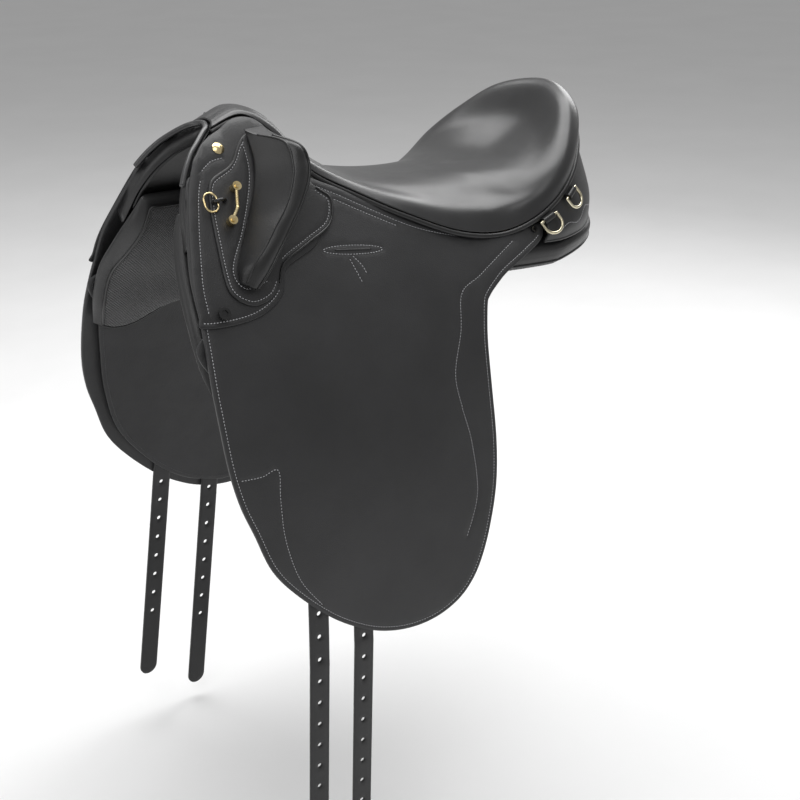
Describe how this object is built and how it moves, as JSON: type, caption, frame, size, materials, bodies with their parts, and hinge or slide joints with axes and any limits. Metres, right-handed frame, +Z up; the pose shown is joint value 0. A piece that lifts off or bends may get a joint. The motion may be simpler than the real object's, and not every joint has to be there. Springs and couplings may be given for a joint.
{
  "type": "english saddle",
  "caption": "Black leather stock-style riding saddle with deep seat, knee pads, liftable flaps, stuffed panels, girth straps and brass dees.",
  "frame": {"origin": "on the centreline, level with the horse's back where the panels rest, under the deepest part of the seat", "axes": "+X to the rear (cantle), +Y to the horse's off (right) side, +Z up; the near (left) side is -Y"},
  "size_m": [0.5431, 0.4278, 0.7849],
  "materials": {
    "seat_leather": "smooth, satin",
    "flap_leather": "fine grained, semi-matt",
    "trim_leather": "smooth, satin",
    "pad_leather": "smooth, satin",
    "panel_leather": "soft, satin",
    "panel_mesh": "woven",
    "strap_leather": "smooth, semi-matt",
    "tree_wood": "laminated, bare",
    "steel": "satin",
    "webbing": "woven",
    "foam": "closed-cell foam",
    "brass": "polished",
    "pale_brass": "polished, pale",
    "black_metal": "gloss black"
  },
  "bodies": {
    "saddle": {"tree_head": "tree_wood", "gullet_plate": "steel", "tree_rivets": "steel", "tree_frame": "tree_wood", "seat_webbing": "webbing", "seat_strainer": "webbing", "seat_foam": "foam", "seat_cover": "seat_leather", "seat_welt": "trim_leather", "pommel_lining": "trim_leather", "gullet_face": "trim_leather", "arch_piping": "trim_leather", "cantle_facing": "flap_leather", "dee_chapes": "trim_leather", "pommel_studs": "brass", "ring_staples": "black_metal", "footmans_loops": "brass", "loop_screws": "brass", "flap_screws": "black_metal", "panel_bridge": "trim_leather", "stirrup_bar_near": "steel", "stirrup_bar_off": "steel", "facing_near": "flap_leather", "facing_off": "flap_leather", "knee_patch_near": "flap_leather", "knee_patch_off": "flap_leather", "knee_pad_near": "pad_leather", "knee_pad_off": "pad_leather", "knee_pad_welt_near": "trim_leather", "knee_pad_welt_off": "trim_leather", "flap_top_near": "flap_leather", "flap_top_off": "flap_leather", "sweat_flap_near": "flap_leather", "sweat_flap_off": "flap_leather", "panel_near": "panel_leather", "panel_off": "panel_leather", "panel_lining_near": "panel_mesh", "panel_lining_off": "panel_mesh", "strap_top_near_front": "strap_leather", "strap_top_near_rear": "strap_leather", "strap_top_off_front": "strap_leather", "strap_top_off_rear": "strap_leather"},
    "flap_near": {"flap_near": "flap_leather"},
    "flap_off": {"flap_off": "flap_leather"},
    "pommel_ring_near": {"pommel_ring_near": "brass"},
    "pommel_ring_off": {"pommel_ring_off": "brass"},
    "bar_catch_near": {"bar_catch_near": "steel"},
    "bar_catch_off": {"bar_catch_off": "steel"},
    "girth_strap_near_front": {"girth_strap_near_front": "strap_leather"},
    "girth_strap_near_rear": {"girth_strap_near_rear": "strap_leather"},
    "girth_strap_off_front": {"girth_strap_off_front": "strap_leather"},
    "girth_strap_off_rear": {"girth_strap_off_rear": "strap_leather"},
    "dee_near_low": {"dee_near_low": "pale_brass"},
    "dee_near_high": {"dee_near_high": "pale_brass"},
    "dee_off_low": {"dee_off_low": "pale_brass"},
    "dee_off_high": {"dee_off_high": "pale_brass"}
  },
  "joints": [
    {"name": "flap_near_lift", "type": "hinge", "parent": "saddle", "child": "flap_near", "pos_m": [-0.12, -0.14594, -0.02], "axis": [-1, 0, 0], "range_deg": [0, 75]},
    {"name": "flap_off_lift", "type": "hinge", "parent": "saddle", "child": "flap_off", "pos_m": [-0.12, 0.14594, -0.02], "axis": [1, 0, 0], "range_deg": [0, 75]},
    {"name": "girth_strap_near_front_swing", "type": "hinge", "parent": "saddle", "child": "girth_strap_near_front", "pos_m": [-0.21, -0.20814, -0.3455], "axis": [-1, 0, 0], "range_deg": [-40, 60]},
    {"name": "girth_strap_near_rear_swing", "type": "hinge", "parent": "saddle", "child": "girth_strap_near_rear", "pos_m": [-0.157, -0.20743, -0.336], "axis": [-1, 0, 0], "range_deg": [-40, 60]},
    {"name": "girth_strap_off_front_swing", "type": "hinge", "parent": "saddle", "child": "girth_strap_off_front", "pos_m": [-0.192, 0.20759, -0.338], "axis": [1, 0, 0], "range_deg": [-40, 60]},
    {"name": "girth_strap_off_rear_swing", "type": "hinge", "parent": "saddle", "child": "girth_strap_off_rear", "pos_m": [-0.125, 0.20751, -0.337], "axis": [1, 0, 0], "range_deg": [-40, 60]},
    {"name": "dee_near_low_swing", "type": "hinge", "parent": "saddle", "child": "dee_near_low", "pos_m": [0.12657, -0.13356, 0.05549], "axis": [-0.9022, 0.0267, -0.4305], "range_deg": [0, 100]},
    {"name": "dee_near_high_swing", "type": "hinge", "parent": "saddle", "child": "dee_near_high", "pos_m": [0.16249, -0.1254, 0.07619], "axis": [-0.7963, -0.3636, -0.4835], "range_deg": [0, 100]},
    {"name": "pommel_ring_near_swing", "type": "hinge", "parent": "saddle", "child": "pommel_ring_near", "pos_m": [-0.2322, -0.0739, 0.11037], "axis": [0, 0.545, 0.8384], "range_deg": [0, 100]},
    {"name": "bar_catch_near_lift", "type": "hinge", "parent": "saddle", "child": "bar_catch_near", "pos_m": [-0.058, -0.0815, 0.052], "axis": [0, -1, 0], "range_deg": [0, 70]},
    {"name": "dee_off_low_swing", "type": "hinge", "parent": "saddle", "child": "dee_off_low", "pos_m": [0.12657, 0.13356, 0.05549], "axis": [0.9022, 0.0267, 0.4305], "range_deg": [0, 100]},
    {"name": "dee_off_high_swing", "type": "hinge", "parent": "saddle", "child": "dee_off_high", "pos_m": [0.16249, 0.1254, 0.07619], "axis": [0.7963, -0.3636, 0.4835], "range_deg": [0, 100]},
    {"name": "pommel_ring_off_swing", "type": "hinge", "parent": "saddle", "child": "pommel_ring_off", "pos_m": [-0.2322, 0.0739, 0.11037], "axis": [0, 0.545, -0.8384], "range_deg": [0, 100]},
    {"name": "bar_catch_off_lift", "type": "hinge", "parent": "saddle", "child": "bar_catch_off", "pos_m": [-0.058, 0.0815, 0.052], "axis": [0, -1, 0], "range_deg": [0, 70]}
  ]
}
